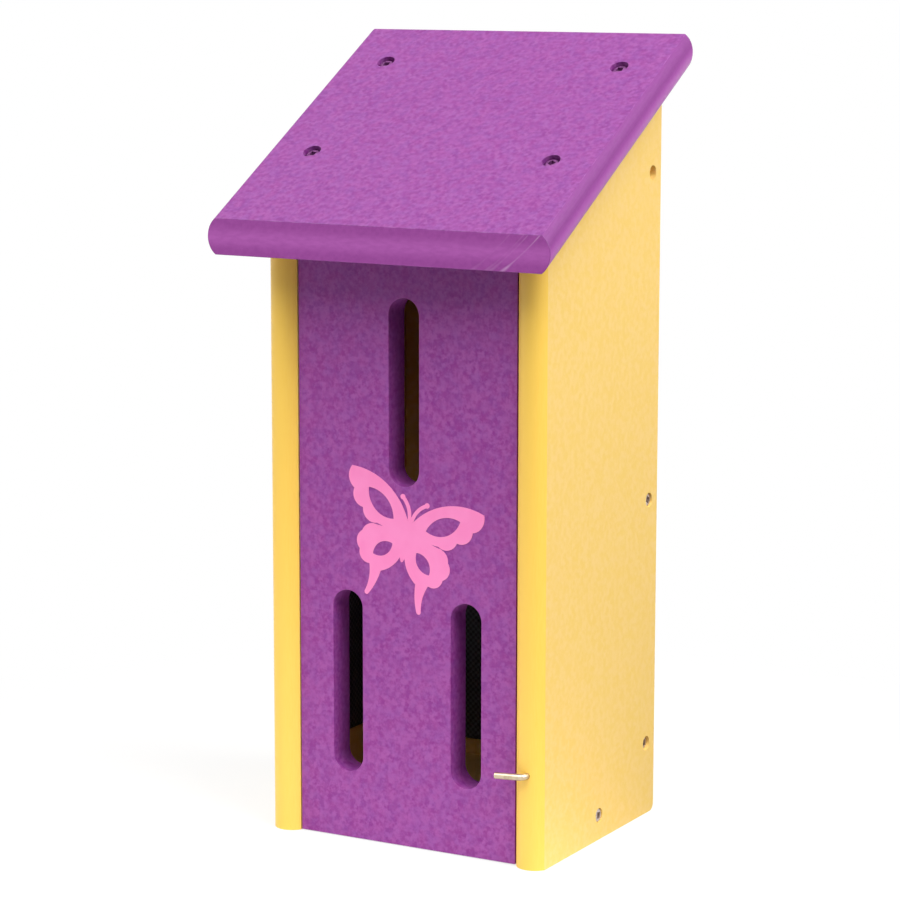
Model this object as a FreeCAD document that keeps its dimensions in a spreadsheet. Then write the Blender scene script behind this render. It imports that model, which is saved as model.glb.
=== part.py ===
import FreeCAD, Part
import os
import re
import Sketcher
from FreeCAD import Placement, Rotation, Vector

# A butterfly house of plastic boards: two sides, back, floor, swinging door and pitched roof.
# Frame: X to the right, Y to the back, Z up; the origin lies on the ground under the roof's middle.

# Driving sizes in millimetres, with the pitch, the droop and the tilt in degrees
SIZES = {
    # boards
    "board": 15.875,
    "body_width": 158.75,
    "side_depth": 129.5,
    "front_height": 319.5,
    "nose": 4.5,
    "foot_ease": 4.0,
    # roof
    "roof_pitch": 30.0,
    "roof_front_overhang": 31.1,
    "roof_side_overhang": 12.7,
    # door and its three slots
    "door_gap": 0.8,
    "door_back_gap": 0.8,
    "door_top_gap": 2.5,
    "door_foot_gap": 0.5,
    "pivot_drop": 6.0,
    "slot_width": 17.5,
    "slot_height": 95.25,
    "upper_slot_drop": 35.2,
    "upper_slot_shift": 1.3,
    "lower_slot_rise": 35.4,
    "lower_slot_spread": 68.8,
    # floor
    "floor_rise": 5.0,
    # climbing mats inside, on the back panel and on both sides
    "mat_thickness": 0.8,
    "mat_height": 101.6,
    "mat_margin": 3.2,
    "mat_corner": 3.2,
    "back_mat_lift": 8.5,
    "side_mat_lift": 22.3,
    # screws
    "screw_head": 7.2,
    "screw_head_height": 2.4,
    "screw_crown": 0.7,
    "screw_shank": 4.2,
    "screw_length": 38.0,
    "screw_tip": 6.0,
    "screw_drive": 3.2,
    "screw_drive_depth": 1.7,
    "screw_clearance": 0.05,
    "screw_hole_spare": 0.5,
    "side_head_clearance": 0.2,
    "roof_head_clearance": 1.2,
    "pivot_head_gap": 0.2,
    # where the screws sit, and how far each head lies below its board's face
    "back_screw_inset": 9.5,
    "upper_screw_drop": 46.6,
    "middle_screw_height": 169.1,
    "lower_screw_height": 38.4,
    "floor_screw_setback": 60.5,
    "roof_screw_shift": 2.9,
    "front_roof_screw_setback": 30.8,
    "back_roof_screw_inset": 20.0,
    "upper_recess": 4.0,
    "middle_recess": 0.8,
    "lower_recess": 1.4,
    "floor_recess": 0.3,
    "pivot_recess": 0.3,
    "roof_recess": 1.5,
    # hook
    "wire": 3.4,
    "latch_height": 48.4,
    "latch_droop": 3.5,
    "latch_gap": 1.5,
    "latch_arm": 16.0,
    "latch_bend": 3.0,
    "latch_stem": 20.0,
    "latch_point": 4.0,
    "latch_clearance": 0.05,
    # sticker
    "decal_span": 80.0,
    "decal_thickness": 0.25,
    "decal_drop": 25.5,
    "decal_shift": 0.5,
    "decal_tilt": 14.0,
    "antenna_width": 2.0,
    # how far a cutting shape runs past the board
    "spare": 5.0,
}

# Sizes that follow from the driving ones
DERIVED = {
    "rise": "tan(roof_pitch)",
    "half_width": "body_width / 2",
    "inside_width": "body_width - 2 * board",
    "side_middle": "half_width - board / 2",
    "back_plane": "(side_depth - nose + roof_front_overhang) / 2",
    "nose_tip": "back_plane - side_depth",
    "door_plane": "nose_tip + nose",
    "nose_radius": "(board * board / 4 + nose * nose) / (2 * nose)",
    "roof_width": "body_width + 2 * roof_side_overhang",
    "roof_front": "door_plane - roof_front_overhang",
    "roof_foot": "front_height - roof_front_overhang * rise",
    "roof_length": "(back_plane - roof_front) / cos(roof_pitch)",
    "roof_lean": "board * rise",
    "roof_screw_line": "side_middle - roof_screw_shift",
    "front_roof_screw": "(roof_front_overhang + front_roof_screw_setback) / cos(roof_pitch)",
    "back_roof_screw": "roof_length - back_roof_screw_inset / cos(roof_pitch)",
    "door_half": "inside_width / 2 - door_gap",
    "door_top": "front_height - door_top_gap",
    "pivot_height": "door_top - pivot_drop",
    "pivot_depth": "door_plane + board / 2",
    "upper_slot_middle": "door_top - upper_slot_drop - slot_height / 2",
    "lower_slot_middle": "lower_slot_rise + slot_height / 2",
    "decal_middle": "upper_slot_middle - slot_height / 2 - decal_drop",
    "back_screw_line": "back_plane - back_screw_inset",
    "upper_screw_height": "front_height + (back_screw_line - door_plane) * rise - upper_screw_drop",
    "floor_screw_line": "door_plane + floor_screw_setback",
    "floor_front": "door_plane + board + door_back_gap",
    "floor_screw_height": "floor_rise + board / 2",
    "back_mat_foot": "floor_rise + board + back_mat_lift",
    "side_mat_foot": "floor_rise + board + side_mat_lift",
    "shank_hole": "screw_shank / 2 + screw_clearance",
    "side_head_hole": "screw_head / 2 + side_head_clearance",
    "roof_head_hole": "screw_head / 2 + roof_head_clearance",
    "latch_plane": "nose_tip - latch_gap - wire / 2",
}

doc = FreeCAD.newDocument("butterfly_house")
sheet = doc.addObject("Spreadsheet::Sheet", "Sizes")


def fill_sheet():
    """Write the driving sizes as numbers and the others as formulas, each with its alias."""
    cells = [(name, str(number)) for name, number in SIZES.items()]
    cells += [(name, "=" + formula) for name, formula in DERIVED.items()]
    for row, (name, content) in enumerate(cells, start=1):
        sheet.set(f"A{row}", name)
        sheet.setAlias(f"B{row}", name)
    for row, (name, content) in enumerate(cells, start=1):
        sheet.set(f"B{row}", content)
    doc.recompute()


def full(expression):
    """The expression with each size named in full, as objects outside the sheet need it."""
    def name_in_full(match):
        word = match.group()
        return f"Sizes.{word}" if word in SIZES or word in DERIVED else word
    return re.sub(r"[a-z_]+", name_in_full, expression)


def size(expression):
    return float(sheet.evalExpression(full(expression)))


def bind(thing, where, expression):
    thing.setExpression(where, full(expression))


def place(thing, x="0", y="0", z="0", axis=Vector(0, 0, 1), turn="0"):
    """Put a piece at a point, turned about an axis, all from the sheet."""
    spot = Vector(size(x), size(y), size(z))
    thing.Placement = Placement(spot, Rotation(axis, size(turn)))
    for letter, expression in zip("xyz", (x, y, z)):
        bind(thing, f"Placement.Base.{letter}", expression)
    bind(thing, "Placement.Rotation.Angle", turn)


# Sketch helpers: every corner is placed by two expressions of the sheet

def new_body(name):
    body = doc.addObject("PartDesign::Body", name)
    body.Label = name
    return body


def new_sketch(body, name, plane, shift="0"):
    """A sketch on one of the body's own planes, moved along that plane's normal by shift."""
    role = f"{plane}_Plane"
    base = next(part for part in body.Origin.OriginFeatures if part.Role == role)
    sketch = body.newObject("Sketcher::SketchObject", f"{body.Name}_{name}")
    sketch.AttachmentSupport = [(base, "")]
    sketch.MapMode = "FlatFace"
    bind(sketch, "AttachmentOffset.Base.z", shift)
    return sketch


def hold(sketch, kind, geometry, point, expression):
    """Fix one coordinate of a sketch point, measured from the sketch's origin."""
    rule = Sketcher.Constraint(kind, -1, 1, geometry, point, size(expression))
    number = sketch.addConstraint(rule)
    bind(sketch, f"Constraints[{number}]", expression)


def arc_between(start, end, radius):
    """The anticlockwise arc of at most a half circle from start to end."""
    chord = end - start
    middle = (start + end) / 2
    inward = Vector(-chord.y, chord.x, 0).normalize()
    reach = max(radius ** 2 - (chord.Length / 2) ** 2, 0) ** 0.5
    centre = middle + inward * reach
    circle = Part.Circle(centre, Vector(0, 0, 1), radius)
    return Part.ArcOfCircle(circle, circle.parameter(start), circle.parameter(end))


def add_loop(sketch, corners, arcs=None):
    """Add one closed outline. arcs gives the radius of a side by its number, or half."""
    arcs = arcs or {}
    spots = [Vector(size(across), size(up), 0) for across, up in corners]
    first = sketch.GeometryCount
    count = len(corners)
    for side in range(count):
        start, end = spots[side], spots[(side + 1) % count]
        if side not in arcs:
            sketch.addGeometry(Part.LineSegment(start, end), False)
        elif arcs[side] == "half":
            sketch.addGeometry(arc_between(start, end, (end - start).Length / 2), False)
        else:
            sketch.addGeometry(arc_between(start, end, size(arcs[side])), False)
    for side in range(count):
        here = first + side
        after = first + (side + 1) % count
        sketch.addConstraint(Sketcher.Constraint("Coincident", here, 2, after, 1))
    for side, (across, up) in enumerate(corners):
        hold(sketch, "DistanceX", first + side, 1, across)
        hold(sketch, "DistanceY", first + side, 1, up)
    for side, radius in arcs.items():
        here = first + side
        if radius == "half":
            sketch.addConstraint(Sketcher.Constraint("Symmetric", here, 1, here, 2, here, 3))
        else:
            number = sketch.addConstraint(Sketcher.Constraint("Radius", here, size(radius)))
            bind(sketch, f"Constraints[{number}]", radius)


def add_circle(sketch, across, up, radius):
    spot = Vector(size(across), size(up), 0)
    here = sketch.addGeometry(Part.Circle(spot, Vector(0, 0, 1), size(radius)), False)
    hold(sketch, "DistanceX", here, 3, across)
    hold(sketch, "DistanceY", here, 3, up)
    number = sketch.addConstraint(Sketcher.Constraint("Radius", here, size(radius)))
    bind(sketch, f"Constraints[{number}]", radius)


def pad(body, sketch, length, both_ways=False, backwards=False):
    feature = body.newObject("PartDesign::Pad", f"{sketch.Name}_pad")
    feature.Profile = sketch
    bind(feature, "Length", length)
    feature.SideType = "Symmetric" if both_ways else "One side"
    feature.Reversed = backwards
    sketch.Visibility = False
    doc.recompute()


def pocket(body, sketch, depth=None, backwards=False):
    """Cut a sketch into the body, to a depth or right through both ways."""
    before = body.Shape.Volume
    feature = body.newObject("PartDesign::Pocket", f"{sketch.Name}_pocket")
    feature.Profile = sketch
    if depth is None:
        feature.Type = "ThroughAll"
        feature.SideType = "Symmetric"
    else:
        bind(feature, "Length", depth)
        feature.Reversed = backwards
    sketch.Visibility = False
    doc.recompute()
    if body.Shape.Volume >= before:
        raise RuntimeError(f"{sketch.Name} cuts nothing")


# Screws: each has a pan head with a square drive, a plain shank and a point

# name: (distance from the front or back, height, depth of the head below the face)
SIDE_SCREWS = {
    "upper_back_screw": ("back_screw_line", "upper_screw_height", "upper_recess"),
    "middle_back_screw": ("back_screw_line", "middle_screw_height", "middle_recess"),
    "lower_back_screw": ("back_screw_line", "lower_screw_height", "lower_recess"),
    "floor_screw": ("floor_screw_line", "floor_screw_height", "floor_recess"),
    "pivot_screw": ("pivot_depth", "pivot_height", "pivot_recess"),
}
ROOF_SCREWS = {"front": "front_roof_screw", "back": "back_roof_screw"}
HANDS = {"left": -1, "right": 1}


def head_depth(recess):
    """Depth of the flat seat that a side screw's head bears on."""
    return f"{recess} + screw_head_height"


def grip(recess):
    """How far a side screw reaches past the inner face of its side."""
    return f"screw_length - board + {recess} + screw_head_height"


def make_screw(name):
    body = new_body(name)
    profile = new_sketch(body, "profile", "XZ")
    corners = [
        ("0", "-screw_length"),
        ("screw_shank / 2", "screw_tip - screw_length"),
        ("screw_shank / 2", "0"),
        ("screw_head / 2", "0"),
        ("screw_head / 2", "screw_head_height - screw_crown"),
        ("screw_head / 2 - screw_crown", "screw_head_height"),
        ("0", "screw_head_height"),
    ]
    add_loop(profile, corners, {4: "screw_crown"})
    turned = body.newObject("PartDesign::Revolution", f"{name}_turned")
    turned.Profile = profile
    turned.ReferenceAxis = (profile, ["V_Axis"])
    turned.Angle = 360
    profile.Visibility = False
    doc.recompute()
    drive = new_sketch(body, "drive", "XY", "screw_head_height")
    low, high = "-screw_drive / 2", "screw_drive / 2"
    add_loop(drive, [(low, low), (high, low), (high, high), (low, high)])
    pocket(body, drive, "screw_drive_depth")
    return body


def make_side_screws():
    screws = []
    for hand, sign in HANDS.items():
        for kind, (along, up, recess) in SIDE_SCREWS.items():
            screw = make_screw(f"{hand}_{kind}")
            play = "pivot_head_gap" if kind == "pivot_screw" else "0"
            seat = f"{sign} * (half_width - {recess} - screw_head_height + {play})"
            place(screw, seat, along, up, Vector(0, 1, 0), f"{90 * sign}")
            screws.append(screw)
    return screws


def make_roof_screws():
    screws = []
    rise_to_seat = "(board - roof_recess - screw_head_height)"
    for hand, sign in HANDS.items():
        for row, along in ROOF_SCREWS.items():
            screw = make_screw(f"{row}_{hand}_roof_screw")
            across = f"{sign} * roof_screw_line"
            back = f"roof_front + {along} * cos(roof_pitch) - {rise_to_seat} * sin(roof_pitch)"
            up = f"roof_foot + {along} * sin(roof_pitch) + {rise_to_seat} * cos(roof_pitch)"
            place(screw, across, back, up, Vector(1, 0, 0), "roof_pitch")
            screws.append(screw)
    return screws


# Boards

def top_at(along):
    """Height of the roof's underside at a distance from the middle."""
    return f"(front_height + ({along} - door_plane) * rise)"


def make_side(hand, sign):
    body = new_body(f"{hand}_side")
    outline = new_sketch(body, "outline", "YZ")
    corners = [
        ("nose_tip", "0"),
        ("back_plane - foot_ease", "0"),
        ("back_plane", "foot_ease"),
        ("back_plane", top_at("back_plane")),
        ("nose_tip", top_at("nose_tip")),
    ]
    add_loop(outline, corners, {1: "foot_ease"})
    pad(body, outline, "board")

    nosing = new_sketch(body, "nosing", "XY")
    corners = [
        ("0", "door_plane"),
        ("board", "door_plane"),
        ("board + spare", "door_plane"),
        ("board + spare", "nose_tip - spare"),
        ("-spare", "nose_tip - spare"),
        ("-spare", "door_plane"),
    ]
    add_loop(nosing, corners, {0: "nose_radius"})
    pocket(body, nosing)

    shanks = new_sketch(body, "shanks", "YZ")
    for along, up, recess in SIDE_SCREWS.values():
        add_circle(shanks, along, up, "shank_hole")
    pocket(body, shanks)
    outer_face = "board" if sign > 0 else "0"
    for kind, (along, up, recess) in SIDE_SCREWS.items():
        seat = new_sketch(body, f"{kind}_seat", "YZ", outer_face)
        add_circle(seat, along, up, "side_head_hole")
        pocket(body, seat, head_depth(recess), backwards=sign < 0)

    roof_holes = new_sketch(body, "roof_holes", "XY")
    roof_holes.AttachmentOffset = Placement(Vector(), Rotation(Vector(1, 0, 0), size("roof_pitch")))
    bind(roof_holes, "AttachmentOffset.Base.y", "roof_front")
    bind(roof_holes, "AttachmentOffset.Base.z", "roof_foot")
    bind(roof_holes, "AttachmentOffset.Rotation.Angle", "roof_pitch")
    inner_edge = "(half_width - board)" if sign > 0 else "-half_width"
    for along in ROOF_SCREWS.values():
        across = f"{sign} * roof_screw_line - {inner_edge}"
        add_circle(roof_holes, across, along, "shank_hole")
    reach = "screw_length - board + roof_recess + screw_head_height + screw_hole_spare"
    pocket(body, roof_holes, reach)

    if sign > 0:
        latch_hole = new_sketch(body, "latch_hole", "XZ", "spare - nose_tip")
        add_circle(latch_hole, "board / 2", "latch_height", "wire / 2 + latch_clearance")
        pocket(body, latch_hole, "latch_stem + screw_hole_spare + spare")
    place(body, inner_edge)
    return body


def drill_ends(body, half_length, kind, gap, along=None):
    """Blind holes in a board's two ends for one kind of side screw."""
    screw_along, up, recess = SIDE_SCREWS[kind]
    for hand, sign in HANDS.items():
        hole = new_sketch(body, f"{hand}_{kind}_hole", "YZ", f"{sign} * ({half_length})")
        add_circle(hole, along or screw_along, up, "shank_hole")
        pocket(body, hole, f"{grip(recess)} - {gap} + screw_hole_spare", backwards=sign < 0)


def make_back_panel():
    body = new_body("back_panel")
    outline = new_sketch(body, "outline", "YZ")
    inner_face = "back_plane - board"
    corners = [
        (inner_face, "0"),
        ("back_plane", "0"),
        ("back_plane", top_at("back_plane")),
        (inner_face, top_at(inner_face)),
    ]
    add_loop(outline, corners)
    pad(body, outline, "inside_width", both_ways=True)
    for kind in ("upper_back_screw", "middle_back_screw", "lower_back_screw"):
        drill_ends(body, "inside_width / 2", kind, "0")
    return body


def make_floor_panel():
    body = new_body("floor_panel")
    outline = new_sketch(body, "outline", "YZ")
    corners = [
        ("floor_front", "floor_rise"),
        ("back_plane - board", "floor_rise"),
        ("back_plane - board", "floor_rise + board"),
        ("floor_front", "floor_rise + board"),
    ]
    add_loop(outline, corners)
    pad(body, outline, "inside_width", both_ways=True)
    drill_ends(body, "inside_width / 2", "floor_screw", "0")
    return body


def make_mat(name, plane, shift, low, high, foot, backwards=False):
    """A thin sheet with round corners, drawn on the face that it lies on."""
    body = new_body(name)
    outline = new_sketch(body, "outline", plane, shift)
    top = f"{foot} + mat_height"
    corners = [
        (f"{low} + mat_corner", foot),
        (f"{high} - mat_corner", foot),
        (high, f"{foot} + mat_corner"),
        (high, f"{top} - mat_corner"),
        (f"{high} - mat_corner", top),
        (f"{low} + mat_corner", top),
        (low, f"{top} - mat_corner"),
        (low, f"{foot} + mat_corner"),
    ]
    add_loop(outline, corners, {side: "mat_corner" for side in (1, 3, 5, 7)})
    pad(body, outline, "mat_thickness", backwards=backwards)
    return body


def make_climbing_mats():
    """One mat on the back panel and one on each side, so that butterflies find a hold."""
    half = "(inside_width / 2 - mat_margin)"
    mats = [make_mat("back_climbing_mat", "XZ", "board - back_plane", f"-{half}", half, "back_mat_foot")]
    low, high = "floor_front + mat_margin", "back_plane - board - mat_margin"
    for hand, sign in HANDS.items():
        face = f"{sign} * inside_width / 2"
        name = f"{hand}_climbing_mat"
        mats.append(make_mat(name, "YZ", face, low, high, "side_mat_foot", backwards=sign > 0))
    return mats


def make_front_door():
    body = new_body("front_door")
    outline = new_sketch(body, "outline", "XZ")
    corners = [
        ("-door_half", "door_foot_gap"),
        ("door_half", "door_foot_gap"),
        ("door_half", "door_top"),
        ("-door_half", "door_top"),
    ]
    add_loop(outline, corners)
    pad(body, outline, "board", backwards=True)

    slots = new_sketch(body, "slots", "XZ")
    middles = [
        ("-upper_slot_shift", "upper_slot_middle"),
        ("-lower_slot_spread / 2", "lower_slot_middle"),
        ("lower_slot_spread / 2", "lower_slot_middle"),
    ]
    half, straight = "slot_width / 2", "(slot_height - slot_width) / 2"
    for across, up in middles:
        corners = [
            (f"{across} - {half}", f"{up} - {straight}"),
            (f"{across} + {half}", f"{up} - {straight}"),
            (f"{across} + {half}", f"{up} + {straight}"),
            (f"{across} - {half}", f"{up} + {straight}"),
        ]
        add_loop(slots, corners, {0: "half", 2: "half"})
    pocket(body, slots)
    drill_ends(body, "door_half", "pivot_screw", "door_gap", along="board / 2")
    place(body, y="door_plane")
    return body


def make_roof_panel():
    """Drawn flat, with Y up the slope from the underside's front edge, then pitched."""
    body = new_body("roof_panel")
    outline = new_sketch(body, "outline", "YZ")
    corners = [
        ("0", "0"),
        ("roof_length", "0"),
        ("roof_length + roof_lean", "board"),
        ("roof_lean", "board"),
    ]
    add_loop(outline, corners)
    pad(body, outline, "roof_width + 2 * nose", both_ways=True)

    nosing = new_sketch(body, "nosing", "XZ")
    for hand, sign in HANDS.items():
        arris = f"{sign} * roof_width / 2"
        beyond = f"{sign} * (roof_width / 2 + nose + spare)"
        low, high = ("0", "-spare"), ("board", "board + spare")
        start, end = (low, high) if sign > 0 else (high, low)
        corners = [
            (arris, start[0]),
            (arris, end[0]),
            (arris, end[1]),
            (beyond, end[1]),
            (beyond, start[1]),
            (arris, start[1]),
        ]
        add_loop(nosing, corners, {0: "nose_radius"})
    pocket(body, nosing)

    shanks = new_sketch(body, "shanks", "XY")
    seats = new_sketch(body, "seats", "XY", "board")
    for sign in HANDS.values():
        for along in ROOF_SCREWS.values():
            across = f"{sign} * roof_screw_line"
            add_circle(shanks, across, along, "shank_hole")
            add_circle(seats, across, along, "roof_head_hole")
    pocket(body, shanks)
    pocket(body, seats, "roof_recess + screw_head_height")
    place(body, y="roof_front", z="roof_foot", axis=Vector(1, 0, 0), turn="roof_pitch")
    return body


# Brass hook: a pointed stem in the right side's nose, a quarter bend and an arm across the door

def make_latch_hook():
    """Drawn with the stem on the Y axis and a level arm, then set in its hole with the arm drooping."""
    stem = doc.addObject("Part::Cylinder", "latch_shank")
    bind(stem, "Radius", "wire / 2")
    bend_end = "(latch_plane + latch_bend)"
    stem_end = "(nose_tip + latch_stem - latch_point)"
    bind(stem, "Height", f"{stem_end} - {bend_end}")
    place(stem, y=stem_end, axis=Vector(1, 0, 0), turn="90")

    point = doc.addObject("Part::Cone", "latch_tip")
    bind(point, "Radius1", "wire / 2")
    point.Radius2 = 0
    bind(point, "Height", "latch_point")
    place(point, y=stem_end, axis=Vector(1, 0, 0), turn="-90")

    bend = doc.addObject("Part::Torus", "latch_corner")
    bind(bend, "Radius1", "latch_bend")
    bind(bend, "Radius2", "wire / 2")
    bend.Angle3 = 90
    place(bend, "-latch_bend", bend_end, turn="-90")

    arm = doc.addObject("Part::Cylinder", "latch_rod")
    bind(arm, "Radius", "wire / 2")
    bind(arm, "Height", "latch_arm - latch_bend")
    place(arm, "-latch_bend", "latch_plane", axis=Vector(0, 1, 0), turn="-90")

    hook = doc.addObject("Part::MultiFuse", "latch_hook")
    hook.Shapes = [stem, point, bend, arm]
    hook.Refine = True
    hook.Label = "latch_hook"
    place(hook, "side_middle", z="latch_height", axis=Vector(0, 1, 0), turn="-latch_droop")
    doc.recompute()
    return hook


# Sticker: a butterfly in one sheet, drawn upright about its body with a half span of one.
# A wing's right half is (across, up, bow): the side that starts there bows out by that share of itself.

FORE_WING = [
    (0.03, 0.0, 0.0),
    (0.46, 0.04, 0.25),
    (0.70, 0.17, 0.25),
    (0.88, 0.37, 0.22),
    (0.98, 0.64, 0.16),
    (0.03, 0.2, 0.0),
]
HIND_WING = [
    (0.03, -0.26, 0.1),
    (0.26, -0.54, 0.05),
    (0.36, -0.88, 0.5),
    (0.42, -0.86, -0.08),
    (0.44, -0.50, 0.25),
    (0.62, -0.36, 0.25),
    (0.64, -0.12, 0.2),
    (0.46, 0.02, 0.0),
    (0.03, 0.06, 0.0),
]
FORE_WINDOW = [(0.24, 0.17, 0.24), (0.68, 0.45, 0.2)]
HIND_WINDOW = [(0.18, -0.14, 0.26), (0.42, -0.36, 0.26)]
ANTENNA = [(0.02, 0.22), (0.07, 0.38), (0.18, 0.49)]
KNOB_SHARE = 0.035
BODY_LONG_SHARE, BODY_WIDE_SHARE, BODY_LOW_SHARE = 0.6, 0.12, 0.03


def bowed_face(outline, sign, scale):
    """A flat face bounded by straight and bowed sides, mirrored if sign is negative."""
    spots = [Vector(sign * across, up, 0) * scale for across, up, bow in outline]
    edges = []
    for number, start in enumerate(spots):
        end = spots[(number + 1) % len(spots)]
        bow = sign * outline[number][2]
        chord = end - start
        if bow == 0:
            edges.append(Part.makeLine(start, end))
        else:
            crown = (start + end) / 2 + Vector(chord.y, -chord.x, 0) * bow
            edges.append(Part.Arc(start, crown, end).toShape())
    return Part.Face(Part.Wire(edges))


def antenna_faces(sign, scale, width):
    """A bowed strip of even width with a round knob at its end."""
    spots = [Vector(sign * across, up, 0) * scale for across, up in ANTENNA]
    bow = Part.Arc(*spots).toShape().Curve
    inner, outer = [
        [bow.Center + (spot - bow.Center) * (1 + side * width / 2 / bow.Radius) for spot in spots]
        for side in (-1, 1)
    ]
    edges = [
        Part.Arc(*inner).toShape(),
        Part.makeLine(inner[2], outer[2]),
        Part.Arc(*outer[::-1]).toShape(),
        Part.makeLine(outer[0], inner[0]),
    ]
    knob = Part.makeCircle(KNOB_SHARE * scale, spots[2])
    return [Part.Face(Part.Wire(edges)), Part.Face(Part.Wire(knob))]


def make_butterfly_decal():
    scale = size("decal_span / 2")
    middle = Vector(0, -BODY_LOW_SHARE * scale, 0)
    long_reach = Vector(0, BODY_LONG_SHARE / 2 * scale, 0)
    short_reach = Vector(BODY_WIDE_SHARE / 2 * scale, 0, 0)
    ellipse = Part.Ellipse(middle + long_reach, middle + short_reach, middle)
    pieces = []
    windows = []
    for sign in HANDS.values():
        pieces += [bowed_face(wing, sign, scale) for wing in (FORE_WING, HIND_WING)]
        pieces += antenna_faces(sign, scale, size("antenna_width"))
        windows += [bowed_face(window, sign, scale) for window in (FORE_WINDOW, HIND_WINDOW)]
    figure = Part.Face(Part.Wire(ellipse.toShape())).multiFuse(pieces).cut(windows).removeSplitter()
    decal = doc.addObject("Part::Feature", "butterfly_decal")
    decal.Shape = figure.Faces[0].extrude(Vector(0, 0, size("decal_thickness")))
    decal.Label = "butterfly_decal"
    upright = Rotation(Vector(1, 0, 0), 90)
    tilt = Rotation(Vector(0, 1, 0), size("decal_tilt"))
    spot = Vector(size("decal_shift"), size("door_plane"), size("decal_middle"))
    decal.Placement = Placement(spot, tilt.multiply(upright))
    return decal


def check_and_export(parts):
    """Stop on any failed object or bad shape, then write one file for each piece."""
    for thing in doc.Objects:
        if "Invalid" in thing.State or "Error" in thing.State:
            raise RuntimeError(f"{thing.Name} failed: {thing.State}")
    for part in parts:
        if part.Shape.isNull() or not part.Shape.isValid() or len(part.Shape.Solids) != 1:
            raise RuntimeError(f"{part.Label} has a bad shape")
    os.makedirs("parts", exist_ok=True)
    for part in parts:
        part.Shape.exportStep(f"parts/{part.Label}.step")
        print(f"{part.Label}: {part.Shape.Volume / 1000:.2f} cm3")


fill_sheet()
house = [make_side(hand, sign) for hand, sign in HANDS.items()]
house += [make_back_panel(), make_floor_panel(), make_front_door(), make_roof_panel()]
house += make_climbing_mats()
house += make_side_screws() + make_roof_screws()
house += [make_latch_hook(), make_butterfly_decal()]
doc.recompute()
check_and_export(house)
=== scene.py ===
# %% [markdown]
# # A butterfly house of coloured plastic boards
# Six boards of dyed recycled plastic make a tall narrow box with a pitched roof. Butterflies go in
# through three slots in the front board, which swings up on two screws at its top, and a small brass
# hook keeps it shut. The construction is loaded at its real size, and this lesson gives it its looks:
# eased edges, screws with square drives, a bent wire hook, and the mottled skin of the plastic.

# %% Load the construction
import math

import bmesh
import bpy
import numpy as np
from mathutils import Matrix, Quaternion, Vector


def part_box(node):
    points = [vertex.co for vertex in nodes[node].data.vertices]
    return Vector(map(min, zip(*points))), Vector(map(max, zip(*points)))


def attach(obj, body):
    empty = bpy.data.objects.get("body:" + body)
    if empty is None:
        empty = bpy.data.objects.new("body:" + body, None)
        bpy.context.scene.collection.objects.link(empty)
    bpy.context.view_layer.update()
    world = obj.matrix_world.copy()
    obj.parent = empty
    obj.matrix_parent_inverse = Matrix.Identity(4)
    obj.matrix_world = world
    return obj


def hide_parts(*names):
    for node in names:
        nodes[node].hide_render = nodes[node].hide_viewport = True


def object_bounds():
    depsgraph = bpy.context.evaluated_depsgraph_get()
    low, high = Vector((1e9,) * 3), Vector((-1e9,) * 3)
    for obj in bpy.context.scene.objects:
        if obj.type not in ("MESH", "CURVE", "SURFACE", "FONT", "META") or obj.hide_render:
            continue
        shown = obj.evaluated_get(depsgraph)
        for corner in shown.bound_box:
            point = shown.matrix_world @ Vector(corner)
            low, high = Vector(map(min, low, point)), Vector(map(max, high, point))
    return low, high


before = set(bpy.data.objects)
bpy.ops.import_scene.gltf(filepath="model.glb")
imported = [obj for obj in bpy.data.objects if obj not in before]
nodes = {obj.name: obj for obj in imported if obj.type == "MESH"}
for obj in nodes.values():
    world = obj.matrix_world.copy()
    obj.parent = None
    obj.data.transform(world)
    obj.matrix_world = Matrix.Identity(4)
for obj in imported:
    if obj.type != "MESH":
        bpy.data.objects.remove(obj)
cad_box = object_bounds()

MM = 0.001
print("pieces loaded:", len(nodes))

# %% [markdown]
# ## Camera
# The house is seen through a long lens, from a little above its top and from the right of the door.
# Place and lens were worked out once from the boards' edges in a photo, so they are plain numbers
# here. The tiny roll is the tilt that a hand-levelled tripod leaves.

# %% Set up the camera
CAMERA_PLACE = Vector((0.7472, -1.33085, 0.4529))
CAMERA_AIM = Vector((-0.4835, 0.8598, -0.1642))
CAMERA_ROLL = math.radians(0.07)
CAMERA_LENS = 120.6


def new_object(name, data):
    """An object in the scene, at the origin."""
    made = bpy.data.objects.new(name, data)
    bpy.context.scene.collection.objects.link(made)
    return made


camera = new_object("camera", bpy.data.cameras.new("camera"))
camera.data.lens = CAMERA_LENS
camera.location = CAMERA_PLACE
camera.rotation_mode = "QUATERNION"
camera.rotation_quaternion = CAMERA_AIM.to_track_quat("-Z", "Y") @ Quaternion((0, 0, 1), CAMERA_ROLL)
bpy.context.scene.camera = camera
bpy.context.scene.view_settings.view_transform = "Standard"
print("camera distance:", round(CAMERA_PLACE.length, 2), "m")

# %% [markdown]
# ## Small helpers for node trees
# A node tree is easier to read in code when each line names a node and what feeds it. These helpers
# add one node each. A value that is a socket is linked, and any other value is set on the input.

# %% Helpers that add nodes
def put(tree, socket, value):
    """Feeds an input from another node's output, or sets its own value."""
    if isinstance(value, bpy.types.NodeSocket):
        tree.links.new(value, socket)
    else:
        socket.default_value = value


def add_node(tree, kind, inputs=None, **settings):
    """A new node with its settings and inputs in place."""
    made = tree.nodes.new(kind)
    for name, value in settings.items():
        setattr(made, name, value)
    for name, value in (inputs or {}).items():
        put(tree, made.inputs[name], value)
    return made


def calc(tree, operation, *values):
    """The result of one Math node."""
    made = add_node(tree, "ShaderNodeMath", operation=operation)
    for socket, value in zip(made.inputs, values):
        put(tree, socket, value)
    return made.outputs[0]


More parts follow.
